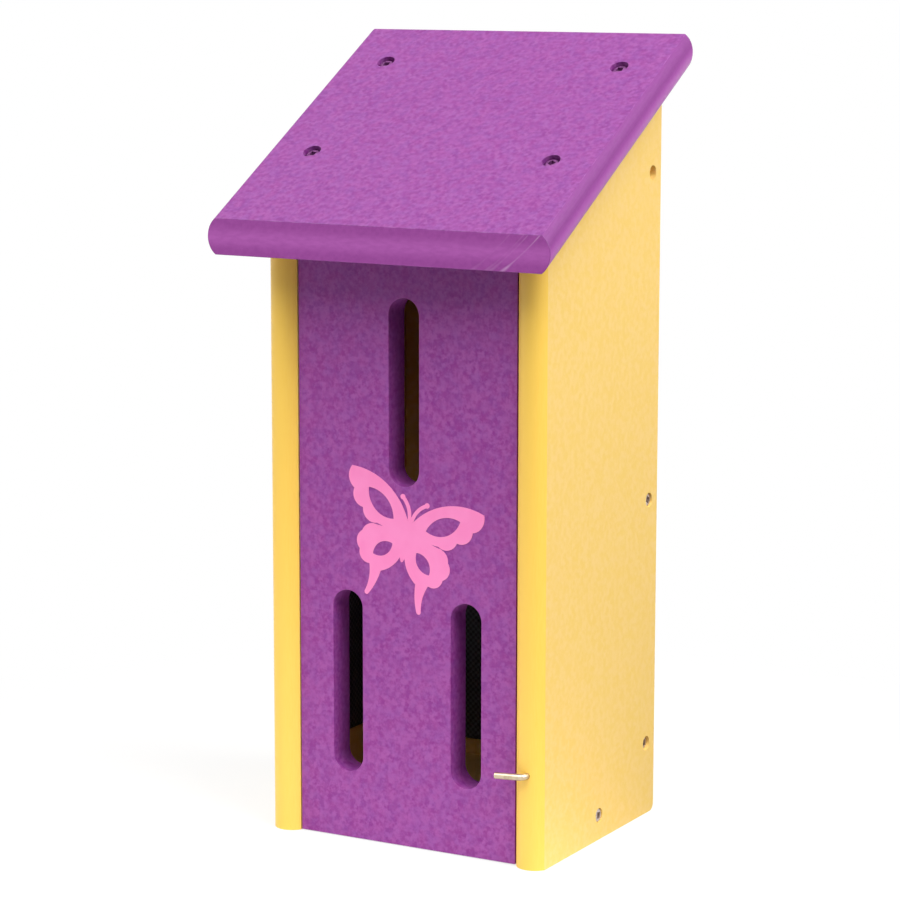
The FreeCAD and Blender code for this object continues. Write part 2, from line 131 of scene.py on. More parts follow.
def fade(tree, value, start, end, low=0.0, high=1.0):
    """A smooth step from low at start to high at end."""
    inputs = {"Value": value, "From Min": start, "From Max": end, "To Min": low, "To Max": high}
    return add_node(tree, "ShaderNodeMapRange", inputs, interpolation_type="SMOOTHSTEP").outputs[0]


def mix(tree, share, first, second):
    """Two colours mixed by a share."""
    made = add_node(tree, "ShaderNodeMix", {"Factor": share}, data_type="RGBA")
    colours = [socket for socket in made.inputs if socket.type == "RGBA"]
    put(tree, colours[0], first)
    put(tree, colours[1], second)
    return next(socket for socket in made.outputs if socket.type == "RGBA")


# %% Helpers for groups and materials
def colour(red, green, blue):
    """A colour with full alpha, from linear values."""
    return (red, green, blue, 1.0)


def new_group(name, kind, inputs, outputs):
    """An empty node group with named sockets, and its input and output nodes."""
    group = bpy.data.node_groups.new(name, kind)
    for direction, sockets in (("INPUT", inputs), ("OUTPUT", outputs)):
        for title, socket_kind in sockets.items():
            group.interface.new_socket(title, in_out=direction, socket_type="NodeSocket" + socket_kind)
    return group, group.nodes.new("NodeGroupInput").outputs, group.nodes.new("NodeGroupOutput").inputs


def add_group(tree, group, inputs):
    """The outputs of a node that holds a shared group."""
    return add_node(tree, "ShaderNodeGroup", inputs, node_tree=group).outputs


def new_material(name):
    """A material with an empty Principled shader, and its tree."""
    made = bpy.data.materials.new(name)
    made.use_nodes = True
    return made, made.node_tree, made.node_tree.nodes["Principled BSDF"]


def object_place(tree):
    """Where a point is, in its object's own coordinates."""
    return tree.nodes.new("ShaderNodeTexCoord").outputs["Object"]


def add_bump(tree, shader, height, depth):
    """A fine relief on a shader, with its depth in metres."""
    bump = add_node(tree, "ShaderNodeBump", {"Height": height, "Distance": depth})
    put(tree, shader.inputs["Normal"], bump.outputs["Normal"])


# %% [markdown]
# ## Floor and daylight
# The house stands on a plain pale sweep. A studio would hang a roll of white paper, and one large
# square does the same here.

# %% Lay the floor
FLOOR_HALF = 6.0
CORNERS = ((-1, -1), (1, -1), (1, 1), (-1, 1))

floor_mesh = bpy.data.meshes.new("floor")
floor_mesh.from_pydata([(x * FLOOR_HALF, y * FLOOR_HALF, 0.0) for x, y in CORNERS], [], [(0, 1, 2, 3)])
floor = new_object("floor", floor_mesh)
print("floor:", 2 * FLOOR_HALF, "m square")

# %% [markdown]
# For the light that bounces, the floor is white on a patch in front of the house, like a table top,
# and dark beyond it, so a glow comes up onto the lower part of the door. For the camera it is pale and
# mixed towards white, more so away from the house, so that only a soft shadow stays near the foot.

# %% Paint the floor
BOUNCE_NEAR = colour(0.96, 0.96, 0.96)
BOUNCE_FAR = colour(0.06, 0.06, 0.06)
TABLE_MIDDLE = (-0.14, -0.26, 0.0)
TABLE_EDGE = (0.24, 0.46)
FLOOR_SEEN = colour(0.93, 0.93, 0.93)
SHADOW_EDGE = (0.12, 0.42)
WHITE = colour(1.0, 1.0, 1.0)
WHITE_SHARE = 0.72


def seen_share(tree):
    """1 for rays from the camera, in mirrors and through glass, and 0 for light that bounces."""
    path = tree.nodes.new("ShaderNodeLightPath").outputs
    mirrored = calc(tree, "MAXIMUM", path["Is Glossy Ray"], path["Is Transmission Ray"])
    return calc(tree, "MAXIMUM", path["Is Camera Ray"], mirrored)


floor_paint = bpy.data.materials.new("white_sweep")
floor_paint.use_nodes = True
tree = floor_paint.node_tree
tree.nodes.clear()
seen = seen_share(tree)
place = object_place(tree)
from_house = add_node(tree, "ShaderNodeVectorMath", {0: place}, operation="LENGTH").outputs["Value"]
white_share = calc(tree, "MULTIPLY", seen, fade(tree, from_house, *SHADOW_EDGE, WHITE_SHARE))
from_table = add_node(tree, "ShaderNodeVectorMath", {0: place, 1: TABLE_MIDDLE}, operation="DISTANCE")
off_table = fade(tree, from_table.outputs["Value"], *TABLE_EDGE)
bounce = mix(tree, off_table, BOUNCE_NEAR, BOUNCE_FAR)
matt = add_node(tree, "ShaderNodeBsdfDiffuse", {"Color": mix(tree, seen, bounce, FLOOR_SEEN)})
glow = add_node(tree, "ShaderNodeEmission", {"Color": WHITE, "Strength": 1.0})
both = add_node(tree, "ShaderNodeMixShader", {0: white_share, 1: matt.outputs[0], 2: glow.outputs[0]})
add_node(tree, "ShaderNodeOutputMaterial", {"Surface": both.outputs[0]})
floor_mesh.materials.append(floor_paint)
print("floor paint:", floor_paint.name)

# %% [markdown]
# The world is white to the camera and in reflections, as the walls of a white studio are. To all other
# light it is nearly dark, so that the lamps alone shape the shadows.

# %% Light the world evenly
DAYLIGHT = 0.01

world = bpy.data.worlds.new("studio")
bpy.context.scene.world = world
world.use_nodes = True
tree = world.node_tree
background = tree.nodes["Background"]
background.inputs["Color"].default_value = WHITE
put(tree, background.inputs["Strength"], fade(tree, seen_share(tree), 0.0, 1.0, DAYLIGHT, 1.0))
print("daylight:", DAYLIGHT)

# %% [markdown]
# ## Soft boxes
# Four soft boxes light the house. The main one hangs high in front, so the roof throws a long soft
# shadow over the top of the door. The second stands on the right and brightens the side board, a weak
# one on the left lifts the left edge, and one low behind shows the back. A lamp's power is worked out
# from the level it should give on a surface that faces it, because the light of a lamp falls with the
# square of its distance.

# %% Hang the soft boxes
SOFT_BOXES = {
    "main_box": {"turn": -14, "rise": 62, "distance": 2.4, "side": 2.8, "level": 1.22},
    "side_box": {"turn": 82, "rise": 42, "distance": 2.2, "side": 1.8, "level": 1.37},
    "left_box": {"turn": -72, "rise": 22, "distance": 2.0, "side": 1.4, "level": 0.24},
    "back_box": {"turn": 184, "rise": 10, "distance": 2.4, "side": 1.0, "level": 0.55},
}
HOUSE_MIDDLE = (cad_box[0] + cad_box[1]) / 2

for name, box in SOFT_BOXES.items():
    lamp = bpy.data.lights.new(name, "AREA")
    lamp.size = box["side"]
    lamp.energy = box["level"] * math.pi**2 * box["distance"] ** 2
    turn, rise = math.radians(box["turn"]), math.radians(box["rise"])
    towards = Vector((math.sin(turn) * math.cos(rise), -math.cos(turn) * math.cos(rise), math.sin(rise)))
    hung = new_object(name, lamp)
    hung.location = HOUSE_MIDDLE + towards * box["distance"]
    hung.rotation_mode = "QUATERNION"
    hung.rotation_quaternion = (-towards).to_track_quat("-Z", "Y")
    print(name, round(lamp.energy, 1), "W")

# %% [markdown]
# ## What recycled plastic looks like
# The boards are pressed from chips of used plastic that melt together. The skin keeps a fine grain
# of light and dark specks, and wider clouds where batches of different tint met. An image could show
# that, and noise is better here: it has no seams, no edges and a size in millimetres. Purple and
# yellow boards share one node group for it, each with its own sizes.

# %% Group for the specks and clouds of the skin
def size_noise(tree, vector, size, detail, shift=0.0):
    """Noise whose features are about the given size, in metres."""
    moved = add_node(tree, "ShaderNodeVectorMath", {0: vector, 1: (shift, shift, shift)}, operation="ADD")
    inputs = {"Vector": moved.outputs[0], "Scale": calc(tree, "DIVIDE", 1.0, size), "Detail": detail}
    return add_node(tree, "ShaderNodeTexNoise", inputs).outputs["Fac"]


SPECK_SPAN = (0.30, 0.70)
CLOUD_SPAN = (0.34, 0.66)
CLOUD_SHIFT, TINT_SHIFT = 3.7, 9.1
SPECK_DETAIL, FINE_DETAIL = 2.0, 3.0

skin_group, given, result = new_group(
    "pressed_skin",
    "ShaderNodeTree",
    {"Place": "Vector", "Speck Size": "Float", "Cloud Size": "Float"},
    {"Specks": "Float", "Clouds": "Float", "Tint": "Float"},
)
specks = size_noise(skin_group, given["Place"], given["Speck Size"], SPECK_DETAIL)
clouds = size_noise(skin_group, given["Place"], given["Cloud Size"], FINE_DETAIL, CLOUD_SHIFT)
tint = size_noise(skin_group, given["Place"], given["Cloud Size"], FINE_DETAIL, TINT_SHIFT)
put(skin_group, result["Specks"], fade(skin_group, specks, *SPECK_SPAN))
put(skin_group, result["Clouds"], fade(skin_group, clouds, *CLOUD_SPAN))
put(skin_group, result["Tint"], fade(skin_group, tint, *CLOUD_SPAN))
print("group:", skin_group.name)

# %% [markdown]
# The cut edges tell how the boards were made. A circular saw leaves rows of shallow arcs, all of the
# blade's radius, one step along the cut after another. Here and there a bright scratch follows such an
# arc and widens towards the lower edge. The pattern needs the board's own directions, so it reads a
# place that is stored on the mesh: across the board, along it, and through its thickness.

# %% Group for saw arcs
BLADE_RADIUS = 0.150
BLADE_RISE = 0.1185
BOARD_HALF = 15.875 / 2 * MM
ROW_WANDER, WANDER_SCALE = 0.8, 0.6

saw_group, given, result = new_group(
    "saw_arcs",
    "ShaderNodeTree",
    {"Across": "Float", "Rise": "Float", "Step": "Float"},
    {"Rows": "Float", "Scratch": "Float"},
)
height = calc(saw_group, "SUBTRACT", BLADE_RISE, given["Rise"])
reach = calc(saw_group, "SUBTRACT", BLADE_RADIUS**2, calc(saw_group, "MULTIPLY", height, height))
along_cut = calc(saw_group, "SUBTRACT", given["Across"], calc(saw_group, "SQRT", reach))
row_phase = calc(saw_group, "DIVIDE", along_cut, given["Step"])
wander_inputs = {"W": row_phase, "Scale": WANDER_SCALE}
wander = add_node(saw_group, "ShaderNodeTexNoise", wander_inputs, noise_dimensions="1D")
row_phase = calc(saw_group, "MULTIPLY_ADD", wander.outputs["Fac"], ROW_WANDER, row_phase)
row_wave = calc(saw_group, "SINE", calc(saw_group, "MULTIPLY", row_phase, math.tau))
put(saw_group, result["Rows"], fade(saw_group, row_wave, -1.0, 1.0))
print("group:", saw_group.name)

# %% [markdown]
# Each scratch has a place along the cut and a depth. It is a thin line of the same arc, faint at mid
# thickness and stronger towards both edges of the cut.

# %% Add the scratches to the saw arcs
SCRATCHES = {-0.0103: 1.0, -0.0165: 0.30, -0.0188: 0.22, -0.0262: 0.16}
SCRATCH_WIDTH = 0.7 * MM
SCRATCH_FOOT = 2.2 * MM
FOOT_SPAN = (-0.3 * BOARD_HALF, -BOARD_HALF)
SCRATCH_MIDDLE = 0.30

scratch_width = fade(saw_group, given["Rise"], *FOOT_SPAN, SCRATCH_WIDTH, SCRATCH_FOOT)
scratched = 0.0
for offset, depth in SCRATCHES.items():
    from_scratch = calc(saw_group, "ABSOLUTE", calc(saw_group, "SUBTRACT", along_cut, offset))
    line = fade(saw_group, from_scratch, scratch_width, 0.0, 0.0, depth)
    scratched = calc(saw_group, "MAXIMUM", scratched, line)
off_middle = calc(saw_group, "ABSOLUTE", given["Rise"])
deeper = fade(saw_group, off_middle, 0.0, BOARD_HALF, SCRATCH_MIDDLE, 1.0)
put(saw_group, result["Scratch"], calc(saw_group, "MULTIPLY", scratched, deeper))
print("scratches:", len(SCRATCHES))

# %% [markdown]
# A router rounds the long edges and leaves fine lines along them. Stretched noise looks like that: the
# place is divided by a long length in one direction and by a small width in the other. The sawn ends
# use the same group for the streaks that the blade smears.

# %% Group for router lines
rout_group, given, result = new_group(
    "router_lines",
    "ShaderNodeTree",
    {"Along": "Float", "Rise": "Float", "Line Width": "Float", "Line Length": "Float"},
    {"Lines": "Float"},
)
line_shares = {
    "X": calc(rout_group, "DIVIDE", given["Along"], given["Line Length"]),
    "Y": calc(rout_group, "DIVIDE", given["Rise"], given["Line Width"]),
}
line_place = add_node(rout_group, "ShaderNodeCombineXYZ", line_shares).outputs[0]
line_inputs = {"Vector": line_place, "Scale": 1.0, "Detail": FINE_DETAIL}
lines = add_node(rout_group, "ShaderNodeTexNoise", line_inputs).outputs["Fac"]
put(rout_group, result["Lines"], fade(rout_group, lines, *SPECK_SPAN))
print("group:", rout_group.name)

# %% [markdown]
# Handling rubs the sharp corners of a board first. Where two faces meet there is a narrow eased strip,
# and on it the plastic is scuffed a little paler in patches. The mask comes from the mesh, which knows
# its eased strips, broken up by noise.

# %% Group for scuffed corners
PATCH_SPAN = (0.4, 0.7)

scuff_group, given, result = new_group(
    "scuffed_corners",
    "ShaderNodeTree",
    {"Eased": "Float", "Place": "Vector", "Patch Size": "Float"},
    {"Scuff": "Float"},
)
patches = size_noise(scuff_group, given["Place"], given["Patch Size"], FINE_DETAIL)
patches = fade(scuff_group, patches, *PATCH_SPAN)
put(scuff_group, result["Scuff"], calc(scuff_group, "MULTIPLY", given["Eased"], patches))
print("group:", scuff_group.name)

# %% [markdown]
# ## The board material
# A board has sheet faces, sawn ends and routed edges, and one material paints them all. Where a point
# is on its board and what kind of face it is on are attributes that a later step stores on the mesh.
# A sheet face is hazy and mottled: dark and light specks, with cool and warm clouds laid over them.

# %% Paint for sheet faces
STORED = {"board_place": ("across", "along", "rise"), "face_kind": ("sawn", "routed", "eased")}


def board_values(tree):
    """Where a point is on its board and what kind of face it is on, by name."""
    values = {"place": object_place(tree)}
    for attribute, parts in STORED.items():
        stored = add_node(tree, "ShaderNodeAttribute", attribute_name=attribute).outputs["Vector"]
        values.update(zip(parts, add_node(tree, "ShaderNodeSeparateXYZ", {0: stored}).outputs))
    return values


def lay_over(tree, paint, *layers):
    """Lays colours over a paint, each with its mask and the most that it covers."""
    for mask, share, tone in layers:
        paint = mix(tree, calc(tree, "MULTIPLY", mask, share), paint, tone)
    return paint


def sheet_paint(tree, look, skin):
    """The mottled colour of a sheet face."""
    specks = mix(tree, skin["Specks"], look["dark"], look["light"])
    cool = (skin["Clouds"], look["cool_share"], look["cool"])
    warm = (skin["Tint"], look["warm_share"], look["warm"])
    return lay_over(tree, specks, cool, warm)


print("stored on a board:", *STORED)

# %% [markdown]
# A sawn end is palest at mid thickness. Over that lie the rows and scratches of the saw, smeared
# streaks, and specks like those of the sheet. A routed edge is smoother and has its fine lines, and
# its lower half is painted paler: a painted sheen, as the bright floor would give it.

# %% Paint for sawn ends and routed edges
CORE_SPAN = (0.75, 0.05)
# Through the board's thickness, where the painted sheen on the lower half of a routed edge begins and
# where it is full.
LOW_SHEEN_SPAN = (0.55 * BOARD_HALF, -0.2 * BOARD_HALF)


def edge_lines(tree, along, rise, width, length):
    """Lines of the given width and length, in metres."""
    inputs = {"Along": along, "Rise": rise, "Line Width": width, "Line Length": length}
    return add_group(tree, rout_group, inputs)["Lines"]


def end_paint(tree, look, spot, skin, saw):
    """The colour of a sawn end."""
    from_middle = calc(tree, "DIVIDE", calc(tree, "ABSOLUTE", spot["rise"]), BOARD_HALF)
    core = mix(tree, fade(tree, from_middle, *CORE_SPAN), look["edge"], look["core"])
    streaks = edge_lines(tree, spot["across"], spot["rise"], look["streak_width"], look["streak_length"])
    return lay_over(
        tree,
        core,
        (saw["Rows"], look["row_share"], look["core"]),
        (saw["Scratch"], look["scratch_share"], look["scuff"]),
        (streaks, look["streak_share"], look["streak"]),
        (skin["Specks"], look["end_speck_share"], look["core"]),
    )


def nose_paint(tree, look, spot, lines):
    """The colour of a routed edge, with a painted sheen on its lower half."""
    lined = mix(tree, lines, look["nose"], look["nose_light"])
    return mix(tree, fade(tree, spot["rise"], *LOW_SHEEN_SPAN), lined, look["nose_low_sheen"])


print("mid thickness of a board:", round(BOARD_HALF / MM, 2), "mm deep")

# %% [markdown]
# Sheet faces are rougher than cut faces. Each kind of face has a relief of its own: the specks stand
# out on the sheet, the router's lines on the rounded edges and the saw's rows on the ends.

# %% Roughness and relief of a board
NOSE_RELIEF, END_RELIEF = 0.25, 0.5


def board_roughness(tree, look, skin, cut, uncut):
    """Hazy sheet faces and smoother cut faces."""
    sheet = fade(tree, skin["Specks"], 0.0, 1.0, *look["sheet_roughness"])
    smoother = fade(tree, skin["Specks"], 0.0, 1.0, *look["cut_roughness"])
    return calc(tree, "MULTIPLY_ADD", smoother, cut, calc(tree, "MULTIPLY", sheet, uncut))


def board_relief(tree, spot, skin, saw, lines, uncut):
    """The height of the marks on each kind of face."""
    sheet = calc(tree, "MULTIPLY", skin["Specks"], uncut)
    nose = calc(tree, "MULTIPLY", lines, calc(tree, "MULTIPLY", spot["routed"], NOSE_RELIEF))
    end = calc(tree, "MULTIPLY", saw["Rows"], calc(tree, "MULTIPLY", spot["sawn"], END_RELIEF))
    return calc(tree, "ADD", sheet, calc(tree, "ADD", nose, end))


print("relief of edges and ends:", NOSE_RELIEF, END_RELIEF)

# %% [markdown]
# Now the parts meet in one Principled shader. The kinds of face choose between the three paints, and
# the scuffs lie on top.

# %% A material for one colour of board
def board_material(name, look):
    """Mottled sheet faces, smooth routed edges and sawn ends of one colour of plastic."""
    made, tree, shader = new_material(name)
    spot = board_values(tree)
    skin_inputs = {"Place": spot["place"], "Speck Size": look["speck"], "Cloud Size": look["cloud"]}
    skin = add_group(tree, skin_group, skin_inputs)
    saw_inputs = {"Across": spot["across"], "Rise": spot["rise"], "Step": look["saw_step"]}
    saw = add_group(tree, saw_group, saw_inputs)
    lines = edge_lines(tree, spot["along"], spot["rise"], look["line_width"], look["line_length"])
    scuff_inputs = {"Eased": spot["eased"], "Place": spot["place"], "Patch Size": look["scuff_size"]}
    scuff = add_group(tree, scuff_group, scuff_inputs)["Scuff"]

    sheet = sheet_paint(tree, look, skin)
    nose = nose_paint(tree, look, spot, lines)
    end = end_paint(tree, look, spot, skin, saw)
    paint = mix(tree, spot["sawn"], mix(tree, spot["routed"], sheet, nose), end)
    paint = lay_over(tree, paint, (scuff, look["scuff_share"], look["scuff"]))
    put(tree, shader.inputs["Base Color"], paint)

    cut = calc(tree, "MAXIMUM", spot["sawn"], spot["routed"])
    uncut = calc(tree, "SUBTRACT", 1.0, cut)
    put(tree, shader.inputs["Roughness"], board_roughness(tree, look, skin, cut, uncut))
    add_bump(tree, shader, board_relief(tree, spot, skin, saw, lines, uncut), look["grain_depth"])
    return made


print("groups in a board's material:", skin_group.name, saw_group.name, rout_group.name, scuff_group.name)

# %% [markdown]
# A look is a list of sizes, colours and shares. All boards share the marks of the tools. The roof is
# painted a deeper purple than the door: painted shade on its top and on the upper part of its rounded
# edge, where the lamps fall strongest. The lower half of that edge is painted much paler, a painted
# sheen. The yellow is calmer than the purple, because its chips differ less.

# %% What all boards share
SHARED_LOOK = {
    "saw_step": 4.2 * MM,
    "line_width": 0.7 * MM,
    "line_length": 9 * MM,
    "scuff_size": 6 * MM,
    "streak_width": 1.7 * MM,
    "streak_length": 6 * MM,
    "streak_share": 0.36,
    "end_speck_share": 0.24,
    "cut_roughness": (0.38, 0.46),
    "sheet_roughness": (0.56, 0.66),
}
print("shared values:", len(SHARED_LOOK))

# %% Mix the two purples
PURPLE = SHARED_LOOK | {
    "speck": 2.4 * MM,
    "cloud": 5.0 * MM,
    "dark": colour(0.228, 0.0160, 0.228),
    "light": colour(0.332, 0.0735, 0.335),
    "cool": colour(0.223, 0.057, 0.318),
    "cool_share": 0.30,
    "warm": colour(0.340, 0.047, 0.270),
    "warm_share": 0.26,
    "nose": colour(0.262, 0.034, 0.264),
    "nose_light": colour(0.282, 0.042, 0.284),
    "nose_low_sheen": colour(0.282, 0.042, 0.284),
    "edge": colour(0.274, 0.039, 0.271),
    "core": colour(0.408, 0.088, 0.402),
    "row_share": 0.04,
    "scratch_share": 0.75,
    "streak": colour(0.250, 0.034, 0.254),
    "scuff": colour(0.62, 0.36, 0.62),
    "scuff_share": 0.10,
    "grain_depth": 0.022 * MM,
}
# Painted shade: the roof's purples are deeper than the door's, so its top and the upper part of its
# rounded edge come out darker where the lamps fall strongest. Painted sheen: the lower half of that edge
# is much paler.
ROOF_SHADE_AND_SHEEN_PURPLE = PURPLE | {
    "dark": colour(0.157, 0.0040, 0.162),
    "light": colour(0.248, 0.0600, 0.258),
    "cool": colour(0.168, 0.040, 0.247),
    "warm": colour(0.257, 0.028, 0.208),
    "nose": colour(0.166, 0.015, 0.171),
    "nose_light": colour(0.186, 0.020, 0.191),
    "nose_low_sheen": colour(0.400, 0.085, 0.400),
    "cut_roughness": (0.50, 0.58),
}
purple_board = board_material("purple_board_skin", PURPLE)
roof_shade_and_sheen_board = board_material("roof_shade_and_sheen_skin", ROOF_SHADE_AND_SHEEN_PURPLE)
print("purple boards:", purple_board.name, roof_shade_and_sheen_board.name)

# %% Mix the yellow
YELLOW = SHARED_LOOK | {
    "speck": 3.0 * MM,
    "cloud": 16 * MM,
    "dark": colour(0.925, 0.615, 0.142),
    "light": colour(0.950, 0.652, 0.226),
    "cool": colour(0.935, 0.656, 0.205),
    "cool_share": 0.15,
    "warm": colour(0.955, 0.628, 0.192),
    "warm_share": 0.15,
    "nose": colour(0.972, 0.613, 0.092),
    "nose_light": colour(0.982, 0.631, 0.104),
    "nose_low_sheen": colour(0.978, 0.622, 0.098),
    "edge": colour(0.965, 0.620, 0.100),
    "core": colour(0.960, 0.690, 0.180),
    "row_share": 0.10,
    "scratch_share": 0.0,
    "streak": colour(0.930, 0.620, 0.110),
    "scuff": colour(0.970, 0.760, 0.340),
    "scuff_share": 0.3,
    "grain_depth": 0.03 * MM,
}
yellow_board = board_material("yellow_board_skin", YELLOW)
print("yellow boards:", yellow_board.name)

# %% [markdown]
# ## Boards with eased corners
# A saw leaves corners that would cut a hand, so the maker runs a scraper along them. The loaded boards
# have the right shapes with perfectly sharp corners, which never catch the light. Each is copied, its
# loose triangles are merged into whole faces, and a Bevel modifier rounds every corner sharper than a
# given angle. Modelling the boards again would only risk a wrong size.

# %% Helpers for plain meshes
MERGE = 0.001 * MM
SMOOTH_LIMIT = math.radians(32)


def make_plain(thing):
    """Turns what the modifiers give into the object's own mesh."""
    evaluated = thing.evaluated_get(bpy.context.evaluated_depsgraph_get())
    thing.data = bpy.data.meshes.new_from_object(evaluated)
    thing.modifiers.clear()
    return thing


def shade(mesh):
    """Smooth shading with the sharp edges kept."""
    mesh.shade_smooth()
    mesh.set_sharp_from_angle(angle=SMOOTH_LIMIT)


# %% Ease the corners of a board
EASE = 0.28 * MM
EASE_STEPS = 2
CORNER_LIMIT = math.radians(25)
NORMAL_WEIGHT = 100
FLAT_LIMIT = math.radians(0.5)
EASED_SLOT = 1


def whole_faced_copy(node):
    """A copy of a loaded board with its triangles merged into whole faces."""
    mesh = nodes[node].data.copy()
    mesh.materials.clear()
    edit = bmesh.new()
    edit.from_mesh(mesh)
    bmesh.ops.remove_doubles(edit, verts=edit.verts, dist=MERGE)
    bmesh.ops.dissolve_limit(edit, angle_limit=FLAT_LIMIT, verts=edit.verts, edges=edit.edges)
    edit.to_mesh(mesh)
    edit.free()
    return new_object(node + "_board", mesh)


def round_corners(board, paint):
    """Bevels the sharp corners; the new strips get the second material slot."""
    board.data.materials.append(paint)
    board.data.materials.append(paint)
    bevel = board.modifiers.new("eased", "BEVEL")
    bevel.width = EASE
    bevel.segments = EASE_STEPS
    bevel.limit_method = "ANGLE"
    bevel.angle_limit = CORNER_LIMIT
    bevel.material = EASED_SLOT
    flatter = board.modifiers.new("flat_faces", "WEIGHTED_NORMAL")
    flatter.weight = NORMAL_WEIGHT
    board.data.shade_smooth()
    return make_plain(board)


# %% [markdown]
# The material needs to know where it is on a board. The largest face gives the direction through the
# board, and the other two directions follow from it. Places are linear across a face, so values at the
# corners are enough. The face kind tells sawn ends, routed edges and eased strips apart. Walls of holes
# and slots lie inside the board's outline, and they keep the look of the sheet.

# %% Store places and face kinds on a board
SHEET_LIMIT = 0.999
END_SHARE = 0.47
SQUARE_LIMIT = 0.1
SIDEWAYS = 0.5
OUTER_LIMIT = 0.5 * MM
ACROSS, ALONG, THROUGH = range(3)


def store(mesh, name, domain, vectors):
    """Keeps one vector for each point or face of a mesh."""
    stored = mesh.attributes.new(name, "FLOAT_VECTOR", domain)
    stored.data.foreach_set("vector", np.asarray(vectors, np.float32).ravel())


def board_directions(mesh):
    """Across, along and through the board, as the columns of a matrix."""
    through = max(mesh.polygons, key=lambda polygon: polygon.area).normal.copy()
    if through.z < 0:
        through.negate()
    across = Vector((0, 1, 0)) if abs(through.x) > SIDEWAYS else Vector((1, 0, 0))
    along = through.cross(across)
    return np.array([across, along, through]).T


def mark_board(mesh):
    """Stores board_place on the points and face_kind on the faces."""
    directions = board_directions(mesh)
    points = np.array([vertex.co for vertex in mesh.vertices]) @ directions
    middle = (points.min(0) + points.max(0)) / 2
    place = points.copy()
    place[:, THROUGH] -= middle[THROUGH]
    store(mesh, "board_place", "POINT", place)

    normals = np.array([polygon.normal for polygon in mesh.polygons]) @ directions
    centres = np.array([polygon.center for polygon in mesh.polygons]) @ directions
    eased = np.array([polygon.material_index == EASED_SLOT for polygon in mesh.polygons])
    cut = (np.abs(normals[:, THROUGH]) < SHEET_LIMIT) & ~eased
    at_end = np.abs(centres[:, ALONG] - middle[ALONG]) > END_SHARE * np.ptp(points[:, ALONG])
    sawn = cut & at_end & (np.abs(normals[:, ACROSS]) < SQUARE_LIMIT)
    reach = (points @ normals.T).max(axis=0)
    outer = reach - (centres * normals).sum(axis=1) < OUTER_LIMIT
    kinds = np.stack([sawn, cut & ~sawn & outer, eased], axis=1)
    store(mesh, "face_kind", "FACE", kinds)
    mesh.polygons.foreach_set("material_index", np.zeros(len(mesh.polygons), np.int32))
    mesh.materials.pop()
    return kinds.sum(0)


# %% [markdown]
# The six boards go through the same steps, so one loop makes them all. Each rides on its body, so the
# front board swings with the door, and takes the place of the loaded board.

# %% Make the six boards
BOARDS = {
    "left_side": ("house", "yellow_board", yellow_board),
    "right_side": ("house", "yellow_board", yellow_board),
    "floor_panel": ("house", "yellow_board", yellow_board),
    "back_panel": ("house", "yellow_board", yellow_board),
    "roof_panel": ("house", "purple_board", roof_shade_and_sheen_board),
    "front_door": ("door", "purple_board", purple_board),
}
for node, (body, slot, paint) in BOARDS.items():
    board = round_corners(whole_faced_copy(node), paint)
    sawn, routed, eased = mark_board(board.data)
    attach(board, body)
    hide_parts(node)
    print(board.name, "sawn", sawn, "routed", routed, "eased", eased, "faces")

# %% [markdown]
# ## Metal
# The side screws are bright steel, the roof screws are duller with a purple cast, and the hook is drawn
# brass. Bare metal in a studio is mostly a mirror of white walls, so its life comes from roughness: fine
# marks of tools and hands, and a patchy dull film.

# %% A material for one metal
FILM_TIMES = 4
MARK_DEPTH = 0.01 * MM


def metal_material(name, pale, dull, roughness, mark_size):
    """Bare metal with fine marks and a patchy dull film."""
    made, tree, shader = new_material(name)
    place = object_place(tree)
    film = fade(tree, size_noise(tree, place, mark_size * FILM_TIMES, FINE_DETAIL), *CLOUD_SPAN)
    marks = size_noise(tree, place, mark_size, FINE_DETAIL)
    put(tree, shader.inputs["Base Color"], mix(tree, film, pale, dull))
    put(tree, shader.inputs["Roughness"], fade(tree, marks, *SPECK_SPAN, *roughness))
    shader.inputs["Metallic"].default_value = 1.0
    add_bump(tree, shader, marks, MARK_DEPTH)
    return made


steel = metal_material(
    "screw_steel",
    pale=colour(0.60, 0.51, 0.47),
    dull=colour(0.46, 0.38, 0.34),
    roughness=(0.30, 0.45),
    mark_size=0.5 * MM,
)
brass = metal_material(
    "drawn_brass",
    pale=colour(0.66, 0.55, 0.39),
    dull=colour(0.54, 0.43, 0.29),
    roughness=(0.30, 0.42),
    mark_size=0.6 * MM,
)
dull_steel = metal_material(
    "roof_screw_steel",
    pale=colour(0.24, 0.08, 0.24),
    dull=colour(0.16, 0.05, 0.16),
    roughness=(0.50, 0.65),
    mark_size=0.5 * MM,
)
print("metals:", steel.name, dull_steel.name, brass.name)

# %% [markdown]
# ## Screws
# Fourteen equal screws hold the house together. Geometry Nodes makes one and sets a copy on each hole,
# so a change of size reaches them all. First the holes are found: each loaded screw has a known axis,
# and the middle of its outer end is where the new head goes.

# %% Measure the screws in the frame
def axis_end(node, axis):
    """The middle of a round piece's end, in the direction of its axis."""
    side = axis.orthogonal().normalized()
    turned = np.array([side, axis.cross(side), axis])
    points = np.array([vertex.co for vertex in nodes[node].data.vertices]) @ turned.T
    middle = (points.min(0) + points.max(0)) / 2
    return Vector((middle[0], middle[1], points[:, 2].max()) @ turned)


screw_nodes = [name for name in nodes if name.endswith("_screw")]
roof_normal = max(nodes["roof_panel"].data.polygons, key=lambda polygon: polygon.area).normal
roof_up = roof_normal if roof_normal.z > 0 else -roof_normal
screw_axes = {}
for name in screw_nodes:
    outward = Vector((-1, 0, 0)) if name.startswith("left") else Vector((1, 0, 0))
    screw_axes[name] = roof_up if "roof" in name else outward
screw_places = {name: axis_end(name, axis) for name, axis in screw_axes.items()}
print("screws:", len(screw_nodes))

# %% [markdown]
# The tree takes the holes, the metal and eleven sizes as inputs. A screw is a turned piece, so its shape
# is a list of stations, each a radius and a height, and a share that makes the drive square.

